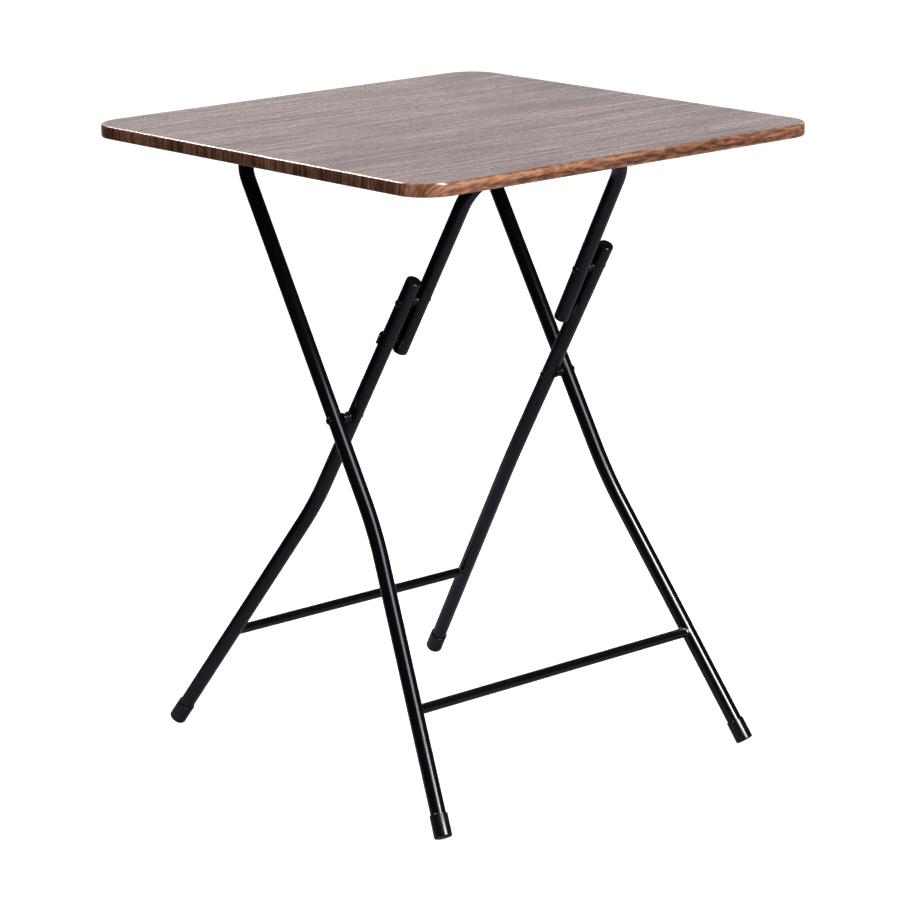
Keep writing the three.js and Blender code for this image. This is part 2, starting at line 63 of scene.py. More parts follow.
# ---- Board ----
# The board is a square of pressed wood with rounded corners, sawn to size before its edge is banded. A
# printed walnut sheet with a satin finish is glued on top of it, and a plain brown balancing sheet below.

BOARD_LOW, BOARD_HIGH = (np.array(corner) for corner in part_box("tabletop_board"))
CORNER_RADIUS = 0.042
BOARD_INSET = 0.0026
BOARD_ARRIS = 0.00025
SHARP_EDGE = math.radians(38)
WALNUT_DARK = (0.030, 0.0115, 0.0075, 1)
WALNUT_MIDDLE = (0.138, 0.057, 0.034, 1)
WALNUT_LIGHT = (0.310, 0.150, 0.098, 1)
DARK_TONE_AT, MIDDLE_TONE_AT, LIGHT_TONE_AT = 0.20, 0.50, 0.80
PORE_BROWN = (0.028, 0.012, 0.009, 1)
PORE_SHARE = 0.55
CLOUD_DULLNESS = 0.012
PORE_DULLNESS = 0.12
FIGURE_GLOSS = 0.05
BACKING_DARK = (0.060, 0.036, 0.025, 1)
BACKING_LIGHT = (0.110, 0.070, 0.049, 1)


def face_list(rings, sides, joined):
    """Four-sided faces between neighbouring rings of a grid, each ring closed on itself."""
    last = rings if joined else rings - 1
    ring, side = np.meshgrid(np.arange(last), np.arange(sides), indexing="ij")
    next_ring = (ring + 1) % rings
    next_side = (side + 1) % sides
    corners = [
        ring * sides + side,
        ring * sides + next_side,
        next_ring * sides + next_side,
        next_ring * sides + side,
    ]
    return np.stack(corners, -1).reshape(-1, 4)


def enclosed_volume(points, quads):
    """Six times the volume inside the faces: first corner . (second x third), summed over triangles."""
    first, second, third, fourth = (points[quads[:, k]] for k in range(4))
    near = np.einsum("ij,ij->i", first, np.cross(second, third))
    far = np.einsum("ij,ij->i", first, np.cross(third, fourth))
    return float(near.sum() + far.sum())


def mesh_object(name, points, faces, finish):
    """An object at the origin with these points and faces, smooth up to the sharp-edge angle."""
    mesh = bpy.data.meshes.new(name)
    mesh.from_pydata(points.tolist(), [], faces)
    mesh.materials.append(finish)
    mesh.shade_smooth()
    mesh.set_sharp_from_angle(angle=SHARP_EDGE)
    piece = bpy.data.objects.new(name, mesh)
    bpy.context.scene.collection.objects.link(piece)
    return piece


def skin(name, grid, finish, joined=False):
    """Closed skin over a grid of points, grid[ring, side]. A joined skin closes its last ring on its
    first; otherwise one flat face fills each end ring. Faces are turned to make the volume positive."""
    rings, sides = grid.shape[:2]
    points = grid.reshape(-1, 3)
    quads = face_list(rings, sides, joined)
    faces = quads.tolist()
    if not joined:
        faces.append(list(range(sides))[::-1])
        faces.append(list(range((rings - 1) * sides, rings * sides)))
    if enclosed_volume(points - points.mean(0), quads) < 0:
        faces = [face[::-1] for face in faces]
    return mesh_object(name, points, faces, finish)


def give_print(piece, places):
    """Lays the wood print on a piece: each point's place on the flat sheet, in metres, as its UV."""
    layer = piece.data.uv_layers.new(name="print")
    corners = np.empty(len(piece.data.loops), np.int32)
    piece.data.loops.foreach_get("vertex_index", corners)
    layer.data.foreach_set("uv", places[corners].astype(np.float32).ravel())


def join(piece, body, slot, *nodes):
    """Fixes a finished piece to its body and lets it stand for its nodes. The slot is not used."""
    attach(piece, body)
    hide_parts(*nodes)


def top_outline(inset, steps=16):
    """Outline of the top and its outward directions: four quarter rounds of the corner radius less the
    inset, about centres one corner radius in from the sides, which the straight sides join."""
    quarter = np.linspace(0, math.pi / 2, steps)
    turns = (quarter[None, :] + np.arange(4)[:, None] * math.pi / 2).ravel()
    out = np.stack([np.cos(turns), np.sin(turns)], -1)
    reach = (cad_high.x - CORNER_RADIUS, cad_high.y - CORNER_RADIUS)
    centres = np.array([(1, 1), (-1, 1), (-1, -1), (1, -1)]) * reach
    return np.repeat(centres, steps, 0) + out * (CORNER_RADIUS - inset), out


def board_grid():
    """Four outlines one above the other, the lowest and highest drawn in by the arris."""
    inset = BOARD_INSET + np.array([BOARD_ARRIS, 0, 0, BOARD_ARRIS])
    low, high = BOARD_LOW[2], BOARD_HIGH[2]
    heights = [low, low + BOARD_ARRIS, high - BOARD_ARRIS, high]
    rings = []
    for drawn_in, height in zip(inset, heights):
        outline = top_outline(drawn_in)[0]
        rings.append(np.column_stack([outline, np.full(len(outline), height)]))
    return np.array(rings)


def add_node(tree, kind, inputs=None, **settings):
    """A shader node with its settings, and its inputs set to a value or linked from a socket."""
    node = tree.nodes.new("ShaderNode" + kind)
    for name, value in settings.items():
        setattr(node, name, value)
    for key, value in (inputs or {}).items():
        if isinstance(value, bpy.types.NodeSocket):
            tree.links.new(value, node.inputs[key])
        else:
            node.inputs[key].default_value = value
    return node


def new_group(name, inputs, outputs):
    """An empty shader group with named inputs and outputs, and the nodes that stand for them in it."""
    group = bpy.data.node_groups.new(name, "ShaderNodeTree")
    for label, kind, value in inputs:
        socket = group.interface.new_socket(label, in_out="INPUT", socket_type="NodeSocket" + kind)
        if value is not None:
            socket.default_value = value
    for label, kind in outputs:
        group.interface.new_socket(label, in_out="OUTPUT", socket_type="NodeSocket" + kind)
    return group, group.nodes.new("NodeGroupInput"), group.nodes.new("NodeGroupOutput")


def stretched_noise(tree, place, stretch, detail, warp=0.0, roughness=0.5):
    """Noise whose spots are one over the stretch long, in metres, along each axis."""
    mapped = add_node(tree, "Mapping", {"Vector": place, "Scale": stretch})
    inputs = {
        "Vector": mapped.outputs["Vector"],
        "Scale": 1.0,
        "Detail": detail,
        "Roughness": roughness,
        "Distortion": warp,
    }
    return add_node(tree, "TexNoise", inputs).outputs["Fac"]


def between(tree, value, low, high, start=0.0, end=1.0):
    """A value taken from low..high to start..end, and held at those ends."""
    inputs = {0: value, 1: low, 2: high, 3: start, 4: end}
    return add_node(tree, "MapRange", inputs).outputs[0]


def arithmetic(tree, operation, first, second):
    """One sum, product or other operation on two values."""
    return add_node(tree, "Math", {0: first, 1: second}, operation=operation).outputs[0]


def mixed(tree, share, first, second):
    """Two colours blended by a share."""
    inputs = {"Factor": share, "A": first, "B": second}
    return add_node(tree, "Mix", inputs, data_type="RGBA").outputs["Result"]


def weighted(tree, value, low, high, share):
    """A value taken from low..high to 0..1, times its share of the whole."""
    return arithmetic(tree, "MULTIPLY", between(tree, value, low, high), share)


def wood_figure_group():
    """Walnut along the first axis: wide soft bands, streaks within them, fine hairs and a fleck add up
    to the tone, with short dark pores besides. The relief is the tone less the pores."""
    inputs = [("Place", "Vector", None)]
    outputs = [("Figure", "Float"), ("Pores", "Float"), ("Relief", "Float")]
    group, start, end = new_group("wood_figure", inputs, outputs)
    place = start.outputs["Place"]
    bands = stretched_noise(group, place, (2.1, 17, 1), detail=3, warp=0.7)
    streaks = stretched_noise(group, place, (5, 120, 1), detail=6, warp=0.35, roughness=0.68)
    hairs = stretched_noise(group, place, (14, 600, 1), detail=3)
    fleck = stretched_noise(group, place, (170, 230, 1), detail=3, roughness=0.65)
    pores = stretched_noise(group, place, (55, 1300, 1), detail=2, warp=0.1)
    wide = weighted(group, bands, 0.32, 0.68, share=0.20)
    narrow = weighted(group, streaks, 0.38, 0.62, share=0.36)
    fine = weighted(group, hairs, 0.3, 0.7, share=0.12)
    grainy = weighted(group, fleck, 0.38, 0.62, share=0.32)
    coarse = arithmetic(group, "ADD", wide, narrow)
    small = arithmetic(group, "ADD", fine, grainy)
    figure = arithmetic(group, "ADD", coarse, small)
    dark_pores = between(group, pores, 0.60, 0.70)
    relief = arithmetic(group, "SUBTRACT", figure, dark_pores)
    group.links.new(figure, end.inputs["Figure"])
    group.links.new(dark_pores, end.inputs["Pores"])
    group.links.new(relief, end.inputs["Relief"])
    return group


def handling_group():
    """Faint clouds left by wiping and handling, and a fine grit of dust, both read at a place."""
    inputs = [("Place", "Vector", None)]
    group, start, end = new_group("handling", inputs, [("Clouds", "Float"), ("Grit", "Float")])
    place = start.outputs["Place"]
    clouds = stretched_noise(group, place, (17, 17, 17), detail=4, warp=0.6)
    grit = stretched_noise(group, place, (900, 900, 900), detail=2)
    group.links.new(between(group, clouds, 0.3, 0.7), end.inputs["Clouds"])
    group.links.new(between(group, grit, 0.62, 0.76), end.inputs["Grit"])
    return group


WOOD_FIGURE = wood_figure_group()
HANDLING = handling_group()


def new_finish(name, **sockets):
    """A material with a Principled shader whose plain sockets are set, with its tree and its shader."""
    material = bpy.data.materials.new(name)
    material.use_nodes = True
    tree = material.node_tree
    shader = tree.nodes["Principled BSDF"]
    for label, value in sockets.items():
        shader.inputs[label.replace("_", " ")].default_value = value
    return material, tree, shader


def place_group(tree, group, place):
    """A group's node in a material, reading a place."""
    node = add_node(tree, "Group", node_tree=group)
    tree.links.new(place, node.inputs["Place"])
    return node.outputs


def bump(tree, shader, height, distance, strength=1.0):
    """A bump of that depth in metres on a shader's normal."""
    inputs = {"Height": height, "Distance": distance, "Strength": strength}
    tree.links.new(add_node(tree, "Bump", inputs).outputs["Normal"], shader.inputs["Normal"])


def marked_place(tree):
    """Object coordinates, and the handling marks read there."""
    where = add_node(tree, "TexCoord").outputs["Object"]
    return where, place_group(tree, HANDLING, where)


def tinted(colour, tint):
    """A colour times a tint."""
    return [part * share for part, share in zip(colour, tint)]


def walnut_finish(name, roughness, relief, tint=(1, 1, 1, 1), stretch=(1, 1, 1)):
    """Printed walnut under a satin lacquer. The figure picks a tone from dark to light, and pores darken
    it. The print is read at place x stretch."""
    material, tree, shader = new_finish(name, IOR=1.5)
    place = add_node(tree, "UVMap", uv_map="print").outputs["UV"]
    inputs = {0: place, 1: stretch}
    scaled = add_node(tree, "VectorMath", inputs, operation="MULTIPLY").outputs["Vector"]
    wood = place_group(tree, WOOD_FIGURE, scaled)
    marks = marked_place(tree)[1]
    tones = add_node(tree, "ValToRGB", {"Fac": wood["Figure"]})
    ramp = tones.color_ramp.elements
    ramp[0].position = DARK_TONE_AT
    ramp[0].color = tinted(WALNUT_DARK, tint)
    ramp[1].position = LIGHT_TONE_AT
    ramp[1].color = tinted(WALNUT_LIGHT, tint)
    middle_tone = ramp.new(MIDDLE_TONE_AT)
    middle_tone.color = tinted(WALNUT_MIDDLE, tint)
    share = arithmetic(tree, "MULTIPLY", wood["Pores"], PORE_SHARE)
    colour = mixed(tree, share, tones.outputs["Color"], PORE_BROWN)
    tree.links.new(colour, shader.inputs["Base Color"])
    cloudy = between(tree, marks["Clouds"], 0, 1, -CLOUD_DULLNESS, CLOUD_DULLNESS)
    dullest, glossiest = roughness + PORE_DULLNESS, roughness - FIGURE_GLOSS
    dull = between(tree, wood["Relief"], 0.1, 0.8, dullest, glossiest)
    tree.links.new(arithmetic(tree, "ADD", cloudy, dull), shader.inputs["Roughness"])
    bump(tree, shader, wood["Relief"], relief)
    return material


def set_surface(tree, shader, colour, clouds, rough, height, depth, strength):
    """Gives a shader its colour, a roughness that follows the clouds between two values, and a bump."""
    tree.links.new(colour, shader.inputs["Base Color"])
    tree.links.new(between(tree, clouds, 0, 1, *rough), shader.inputs["Roughness"])
    bump(tree, shader, height, depth, strength)


def backing_finish():
    """Brown balancing paper: a fibrous mottle in two tones, nearly matt, with a fine tooth."""
    material, tree, shader = new_finish("brown_backing", IOR=1.45)
    where, marks = marked_place(tree)
    fibres = stretched_noise(tree, where, (160, 420, 160), detail=4, warp=1.2)
    share = between(tree, fibres, 0.3, 0.7)
    colour = mixed(tree, share, BACKING_DARK, BACKING_LIGHT)
    set_surface(tree, shader, colour, marks["Clouds"], (0.62, 0.74), fibres, depth=0.00008, strength=0.6)
    return material


walnut_sheet = walnut_finish("walnut_sheet", roughness=0.27, relief=0.0003)
brown_backing = backing_finish()

grid = board_grid()
board = skin("board", grid, walnut_sheet)
board.data.materials.append(brown_backing)
give_print(board, grid.reshape(-1, 3)[:, :2])
facing = np.empty(len(board.data.polygons) * 3, np.float32)
board.data.polygons.foreach_get("normal", facing)
downward = (facing.reshape(-1, 3)[:, 2] < -0.5).astype(np.int32)
board.data.polygons.foreach_set("material_index", downward)
join(board, "tabletop", "wood_laminate", "tabletop_board")


# ---- Edge band ----
# The band is a strip printed like the top, glued round the sawn edge in one length and rounded over with
# a cutter above and below. Its print goes on from the top's, so the grain runs along two sides and down
# the other two. Its tones are lightened over the top's by a tint, as painted light on its sides.

BAND_HEIGHT = 0.015
BAND_THICKNESS = 0.0025
BAND_ROUNDING = 0.002
BAND_ROUND_STEPS = 7
# The band's walnut tones are multiplied by this tint: painted light that makes its sides lighter than the
# same print on the top.
EDGE_PAINTED_LIGHT = (1.71, 1.68, 1.44, 1)
EDGE_STRETCH = (0.35, 1.2, 1)


def band_section():
    """Distance in from the edge and height, once round the band: along the top, round the upper arris,
    down, round the lower arris and back inside. Also the length along the section from its start."""
    turn = np.linspace(0, math.pi / 2, BAND_ROUND_STEPS)
    low, high = cad_high.z - BAND_HEIGHT, cad_high.z
    upper_in = BAND_ROUNDING * (1 - np.sin(turn))
    upper_up = high - BAND_ROUNDING * (1 - np.cos(turn))
    lower_in = BAND_ROUNDING * (1 - np.cos(turn))
    lower_up = low + BAND_ROUNDING * (1 - np.sin(turn))
    inward = np.concatenate([[BAND_THICKNESS], upper_in, lower_in, [BAND_THICKNESS]])
    height = np.concatenate([[high], upper_up, lower_up, [low]])
    steps = np.hypot(np.diff(inward), np.diff(height))
    return inward, height, np.concatenate([[0], np.cumsum(steps)])


def band_grid():
    """The section carried round the outline, and each point's place on the print sheet: the outline at
    the joint with the board, moved outwards by the length along the section."""
    inward, height, run = band_section()
    seam, out = top_outline(BAND_THICKNESS)
    reach = (BAND_THICKNESS - inward)[None, :, None]
    plan = seam[:, None, :] + out[:, None, :] * reach
    heights = np.broadcast_to(height[None, :, None], plan.shape[:2] + (1,))
    sheet = seam[:, None, :] + out[:, None, :] * run[None, :, None]
    return np.concatenate([plan, heights], -1), sheet


walnut_edge = walnut_finish("walnut_edge", 0.17, 0.00004, tint=EDGE_PAINTED_LIGHT, stretch=EDGE_STRETCH)
grid, sheet = band_grid()
edge_band = skin("edge_band", grid, walnut_edge, joined=True)
give_print(edge_band, sheet.reshape(-1, 2))
join(edge_band, "tabletop", "wood_edging", "tabletop_edge_band")


# ---- Outer legs ----
# The outer legs are one round steel tube bent into an arch and powder coated in gloss black. It passes
# under the back of the top, where it turns in its saddles, and each leg bends outwards below the scissor.

TUBE_RADIUS = 0.009
TUBE_WALL = 0.0012
TUBE_SIDES = 40
TOP_BEND_RADIUS = 0.045
LEG_BEND_RADIUS = 0.48
NEARLY_STRAIGHT = 1e-4
OUTER_BEND_HEIGHT = 0.311
OUTER_HINGE_HALF = 0.1787
OUTER_SCISSOR_HALF = 0.1808
OUTER_FOOT_HALF = 0.2407
CAP_RADIUS = 0.0105
CAP_ROUNDING = 0.002
CAP_FLOOR = 0.004
CAP_FLOOR_GAP = 0.0003
PAINT_BLACK = (0.0016, 0.0016, 0.0020, 1)
PAINT_DUST = (0.0065, 0.0065, 0.0070, 1)

pivots = {joint["name"]: np.array(joint["pos_m"], float) for joint in frame["joints"]}
rear_hinge = pivots["outer_legs_fold"]


def middle(node):
    """Middle of a node's box."""
    low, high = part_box(node)
    return (np.array(low) + np.array(high)) / 2


scissor = middle("scissor_collar_left") * (0, 1, 1)


def unit(vector):
    """A vector of length one in the same direction."""
    return vector / np.linalg.norm(vector)


def at_side(point, half, side):
    """A point of the side view set out to one side by a half width."""
    return np.array([half * side, point[1], point[2]])


def at_height(lower, upper, height):
    """The point at a height on the straight line through two points."""
    share = (height - lower[2]) / (upper[2] - lower[2])
    return lower + (upper - lower) * share


def bent_line(corners, radii, steps=14):
    """Middle line of a bent tube and its directions: straight runs joined by arcs. An arc of a radius
    starts radius x tan(half the turn) before its corner, and at angle a it has gone radius x sin a
    forwards and radius x (1 - cos a) inwards."""
    runs = [unit(after - before) for before, after in zip(corners, corners[1:])]
    places = [corners[0][None]]
    headings = [runs[0][None]]
    for corner, before, after, radius in zip(corners[1:], runs, runs[1:], radii):
        turn = math.acos(float(np.clip(before @ after, -1, 1)))
        inward = unit(after - before * (before @ after))
        angle = np.linspace(0, turn, steps)[:, None]
        start = corner - before * radius * math.tan(turn / 2)
        places.append(start + radius * (np.sin(angle) * before + (1 - np.cos(angle)) * inward))
        headings.append(np.cos(angle) * before + np.sin(angle) * inward)
    places.append(corners[-1][None])
    headings.append(runs[-1][None])
    return np.concatenate(places), np.concatenate(headings)


def tube_rings(line, headings, radius):
    """Circles of a radius about a line that lies in one plane: point = line + radius (cos t x plane
    normal + sin t x heading x plane normal)."""
    bend = np.cross(headings[0], headings[len(headings) // 2 + 1])
    if np.linalg.norm(bend) < NEARLY_STRAIGHT:
        bend = np.cross(headings[0], headings[-1])
    normal = unit(bend)
    t = np.linspace(0, 2 * math.pi, TUBE_SIDES, endpoint=False)
    beside = np.cross(headings, normal)
    ring = np.cos(t)[None, :, None] * normal + np.sin(t)[None, :, None] * beside[:, None, :]
    return line[:, None, :] + radius * ring


def tube(name, corners, radii, finish):
    """Hollow bent tube: its outer rings from end to end, then its inner rings back, closed in a loop."""
    line, headings = bent_line(corners, radii)
    outer = tube_rings(line, headings, TUBE_RADIUS)
    inner = tube_rings(line, headings, TUBE_RADIUS - TUBE_WALL)[::-1]
    return skin(name, np.concatenate([outer, inner]), finish, joined=True)


def gloss_black_finish():
    """Gloss black powder coat: a soft orange peel, faint clouds in the gloss and a little dust."""
    material, tree, shader = new_finish("gloss_black_coat", IOR=1.5)
    where, marks = marked_place(tree)
    dusty = arithmetic(tree, "MULTIPLY", marks["Grit"], 0.35)
    colour = mixed(tree, dusty, PAINT_BLACK, PAINT_DUST)
    peel = stretched_noise(tree, where, (420, 420, 420), detail=2)
    set_surface(tree, shader, colour, marks["Clouds"], (0.15, 0.21), peel, depth=0.00003, strength=0.4)
    return material


gloss_black = gloss_black_finish()


def cap_base(foot, bend):
    """Middle of a foot cap's flat base, set so that the tilted, rounded rim just meets the floor, and the
    way up the leg. Its height is c + (R - c) sin tilt - c cos tilt, with c the rounding of radius R."""
    up = unit(bend - foot)
    tilt = math.acos(up[2])
    flat = CAP_RADIUS - CAP_ROUNDING
    height = CAP_ROUNDING + flat * math.sin(tilt) - CAP_ROUNDING * math.cos(tilt)
    return at_height(foot, bend, height), up


def tube_foot(foot, bend):
    """Where a leg's tube stops inside its foot cap."""
    base, up = cap_base(foot, bend)
    return base + up * (CAP_FLOOR + CAP_FLOOR_GAP)


def outer_points(side):
    """Foot, bend and hinge of one outer leg, which are on one line in the side view."""
    hinge = at_side(rear_hinge, OUTER_HINGE_HALF, side)
    crossing = at_side(scissor, OUTER_SCISSOR_HALF, side)
    bend = at_height(crossing, hinge, OUTER_BEND_HEIGHT)
    foot = at_side(at_height(crossing, hinge, 0), OUTER_FOOT_HALF, side)
    return foot, bend, hinge


foot_left, bend_left, hinge_left = outer_points(-1)
foot_right, bend_right, hinge_right = outer_points(1)
arch = [
    tube_foot(foot_left, bend_left),
    bend_left,
    hinge_left,
    hinge_right,
    bend_right,
    tube_foot(foot_right, bend_right),
]
arch_radii = [LEG_BEND_RADIUS, TOP_BEND_RADIUS, TOP_BEND_RADIUS, LEG_BEND_RADIUS]
join(tube("outer_arch", arch, arch_radii, gloss_black), "outer_legs", "black_paint", "outer_leg_frame")


# ---- Inner legs ----
# The inner legs are two lengths of the same tube, bent outwards once below the scissor. Each ends above
# the knee in a plugged end. They are coated black with the rest of the steel.

INNER_KNEE_HALF = 0.1488
INNER_SCISSOR_HALF = 0.152
INNER_FOOT_HALF = 0.2097
INNER_FOOT_REACH = 0.290
INNER_BEND_HEIGHT = 0.310
KNEE_TO_INNER_END = 0.030
SIDES = {"left": -1, "right": 1}

knee = pivots["knee_fold"]


def inner_points(side):
    """Foot, bend and top end of one inner leg, and the way up its straight upper part."""
    at_knee = at_side(knee, INNER_KNEE_HALF, side)
    crossing = at_side(scissor, INNER_SCISSOR_HALF, side)
    up = unit(at_knee - crossing)
    bend = at_height(crossing, at_knee, INNER_BEND_HEIGHT)
    foot = np.array([INNER_FOOT_HALF * side, INNER_FOOT_REACH, 0.0])
    return foot, bend, at_knee + up * KNEE_TO_INNER_END, up


for label, side in SIDES.items():
    foot, bend, top, _ = inner_points(side)
    corners = [tube_foot(foot, bend), bend, top]
    leg = tube(f"inner_leg_tube_{label}", corners, [LEG_BEND_RADIUS], gloss_black)
    join(leg, "inner_legs", "black_paint", f"inner_leg_{label}")


# ---- Crossbars ----
# Each pair of legs is tied by a thinner tube, cut to length and coped to the round of the legs. A bead of
# weld runs round each end, and the coat covers bar, bead and leg alike.

BAR_RADIUS = 0.006
BAR_SIDES = 66
BAR_SINK = 0.0006
BEAD_SIZE = 0.0019
BEAD_STEPS = 9
BEAD_RIPPLE = 0.00018
BEAD_RIPPLES = 22
OUTER_BAR_HEIGHT = 0.1297
INNER_BAR_HEIGHT = 0.132


def coped_rings(foot, bend, height, side):
    """Rings of a bar's end from its clean tube to the leg. At angle a of a quarter turn the bead's radius
    is bar radius + size (1 - cos a), and it stands size (1 - sin a) off the leg's round, a concave
    quarter circle; the ripple is a sine round the bar. The last ring is sunk just inside the leg."""
    centre = at_height(foot, bend, height)
    along = unit(bend - foot)
    t = np.linspace(0, 2 * math.pi, BAR_SIDES, endpoint=False)
    turn = np.concatenate([np.linspace(0, math.pi / 2, BEAD_STEPS), [math.pi / 2]])[:, None]
    ripple = BEAD_RIPPLE * np.sin(BEAD_RIPPLES * t)[None, :] * np.sin(turn) ** 2
    radius = BAR_RADIUS + BEAD_SIZE * (1 - np.cos(turn)) + ripple
    stand_off = BEAD_SIZE * (1 - np.sin(turn))
    stand_off[-1] = -BAR_SINK
    y = radius * np.cos(t)[None, :]
    z = radius * np.sin(t)[None, :]
    lean = y * along[1] + z * along[2]
    steep = 1 - along[0] ** 2
    root = (along[0] * lean) ** 2 - steep * (radius**2 - lean**2 - TUBE_RADIUS**2)
    surface = (along[0] * lean - side * np.sqrt(root)) / steep
    x = centre[0] + surface - side * stand_off
    return np.stack([x, centre[1] + y, centre[2] + z], -1)


def crossbar(name, feet, bends, height):
    """A bar between two legs: the left end's rings from its leg on, then the right end's to its leg."""
    left = coped_rings(feet[0], bends[0], height, -1)[::-1]
    right = coped_rings(feet[1], bends[1], height, 1)
    return skin(name, np.concatenate([left, right]), gloss_black)


inner_feet, inner_bends = zip(*(inner_points(side)[:2] for side in SIDES.values()))
outer_bar = crossbar("outer_bar", [foot_left, foot_right], [bend_left, bend_right], OUTER_BAR_HEIGHT)
inner_bar = crossbar("inner_bar", inner_feet, inner_bends, INNER_BAR_HEIGHT)
join(outer_bar, "outer_legs", "black_paint", "outer_crossbar")
join(inner_bar, "inner_legs", "black_paint", "inner_crossbar")


# ---- Strut ----
# The strut is a shorter arch of the same tube, hinged under the front of the top. Its two ends reach past
# the knee and lie beside the inner legs, where they lock.

STRUT_HINGE_HALF = 0.117
STRUT_KNEE_HALF = 0.1228
KNEE_TO_STRUT_END = 0.0735

front_hinge = pivots["strut_fold"]


def strut_points(side):
    """Hinge, knee and lower end of one strut arm, and the way down it."""
    hinge = at_side(front_hinge, STRUT_HINGE_HALF, side)
    at_knee = at_side(knee, STRUT_KNEE_HALF, side)
    down = unit(at_knee - hinge)
    return hinge, at_knee, at_knee + down * KNEE_TO_STRUT_END, down


left_hinge, _, left_end, _ = strut_points(-1)
right_hinge, _, right_end, _ = strut_points(1)
bow = [left_end, left_hinge, right_hinge, right_end]
strut_bow = tube("strut_bow", bow, [TOP_BEND_RADIUS, TOP_BEND_RADIUS], gloss_black)
join(strut_bow, "strut", "black_paint", "strut_frame")


# ---- Hinge saddles ----
# Four straps of sheet steel hold the two arches up against the underside and let them turn. Each is
# pressed over the tube from flat strip, with a rounded ear on either side for a screw, and coated black.

SADDLE_GAUGE = 0.0015
SADDLE_WIDTH = 0.022
SADDLE_MIDDLE_RADIUS = 0.01015
SADDLE_EAR_REACH = 0.0259
SADDLE_EAR_CORNER = 0.005
SADDLE_PRESS_RADIUS = 0.0019
SADDLE_BEND_STEPS = 12
SADDLE_TIP_STEPS = 9
SADDLE_ARRIS = 0.0003
STRIP_SHARES = np.linspace(-1, 1, 7)
ARRIS_ANGLE = math.radians(50)


def tip_half_width(half_width, corner, from_end):
    """Half width of a strip with rounded corners at its end: h - c + sqrt(c^2 - (c - e)^2), with h the
    full half width, c the corner's radius and e the distance from the end, up to c."""
    short = np.clip(corner - from_end, 0, corner)
    return half_width - corner + np.sqrt(corner**2 - short**2)


def strap_grid(node):
    """The strap's middle sheet: its bent line in the side view by its width, with round-cornered ears."""
    low, high = (np.array(corner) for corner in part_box(node))
    ear = high[2] - SADDLE_GAUGE / 2
    axis = low[2] + SADDLE_MIDDLE_RADIUS + SADDLE_GAUGE / 2
    centre, y, _ = middle(node)
    reach, side = SADDLE_EAR_REACH, SADDLE_MIDDLE_RADIUS
    half_plan = [(reach, ear), (side, ear), (side, axis - side)]
    plan = [(-across, height) for across, height in half_plan] + half_plan[::-1]
    corners = [np.array([0.0, y + across, height]) for across, height in plan]
    radii = [SADDLE_PRESS_RADIUS, side, side, SADDLE_PRESS_RADIUS]
    line, _ = bent_line(corners, radii, SADDLE_BEND_STEPS)
    tips = np.linspace(0, SADDLE_EAR_CORNER, SADDLE_TIP_STEPS)[:-1]
    start = line[0] + np.outer(tips, (0, 1, 0))
    finish = line[-1] - np.outer(tips[::-1], (0, 1, 0))
    line = np.concatenate([start, line[1:-1], finish])
    from_end = np.abs(np.abs(line[:, 1] - y) - reach)
    half = tip_half_width(SADDLE_WIDTH / 2, SADDLE_EAR_CORNER, from_end)
    grid = np.repeat(line[:, None, :], len(STRIP_SHARES), 1)
    grid[:, :, 0] = centre + half[:, None] * STRIP_SHARES[None, :]
    return grid


def sheet_metal(name, grid, gauge, arris, finish):
    """An open grid of points as sheet metal: faces between neighbours, given a gauge and soft arrises."""
    rows, columns = grid.shape[:2]
    row, column = np.meshgrid(np.arange(rows - 1), np.arange(columns - 1), indexing="ij")
    first = (row * columns + column).ravel()
    faces = np.stack([first, first + 1, first + columns + 1, first + columns], -1).tolist()
    piece = mesh_object(name, grid.reshape(-1, 3), faces, finish)
    thick = piece.modifiers.new("gauge", "SOLIDIFY")
    thick.thickness = gauge
    thick.offset = 0
    thick.use_even_offset = True
    soft = piece.modifiers.new("arris", "BEVEL")
    soft.width = arris
    soft.segments = 3
    soft.limit_method = "ANGLE"
    soft.angle_limit = ARRIS_ANGLE
    return piece


for arch_name in ("outer", "strut"):
    for label in SIDES:
        node = f"{arch_name}_hinge_saddle_{label}"
        name = f"{arch_name}_saddle_{label}"
        strap = sheet_metal(name, strap_grid(node), SADDLE_GAUGE, SADDLE_ARRIS, gloss_black)
        join(strap, "tabletop", "black_paint", node)


# ---- Saddle screws ----
# Eight pan-head wood screws with cross recesses fix the saddles to the underside of the board. They are
# steel with a black zinc finish, driven until the head pulls the ear flat.

SCREW_HEAD_RADIUS = 0.0036
SCREW_HEAD_HEIGHT = 0.0022
SCREW_RADIUS = 0.0018
SCREW_POINT = 0.002
SCREW_TIP_RADIUS = 0.0001
SCREW_SIDES = 72
SCREW_RIM_SHARES = np.sin(np.linspace(math.pi / 2, 0.62, 7))
SCREW_FACE_SHARES = np.linspace(0.55, 0.01, 19)
RECESS_HALF_WIDTH = 0.00045
RECESS_MOUTH_HALF_WIDTH = 0.000675
RECESS_REACH = 0.0017
RECESS_MOUTH_REACH = 0.0020
RECESS_DEPTH = 0.0011
ZINC_BLACK = (0.020, 0.020, 0.022, 1)
ZINC_WORN = (0.095, 0.092, 0.088, 1)


def ease(value, low, high):
    """Nought below low, one above high, and 3 s^2 - 2 s^3 between."""
    share = np.clip((value - low) / (high - low), 0, 1)
    return share * share * (3 - 2 * share)


def cross_slot(across, along):
    """One over a slot's floor, and eased to nought up its sides and its ends."""
    sides = 1 - ease(np.abs(across), RECESS_HALF_WIDTH, RECESS_MOUTH_HALF_WIDTH)
    ends = 1 - ease(np.abs(along), RECESS_REACH, RECESS_MOUTH_REACH)
    return sides * ends


def upright_rings(radius, height):
    """Circles about the upright axis: x = radius cos t, y = radius sin t, z = height."""
    t = np.linspace(0, 2 * math.pi, SCREW_SIDES, endpoint=False)
    x = radius[:, None] * np.cos(t)
    y = radius[:, None] * np.sin(t)
    return np.stack([x, y, np.broadcast_to(height[:, None], x.shape)], -1)


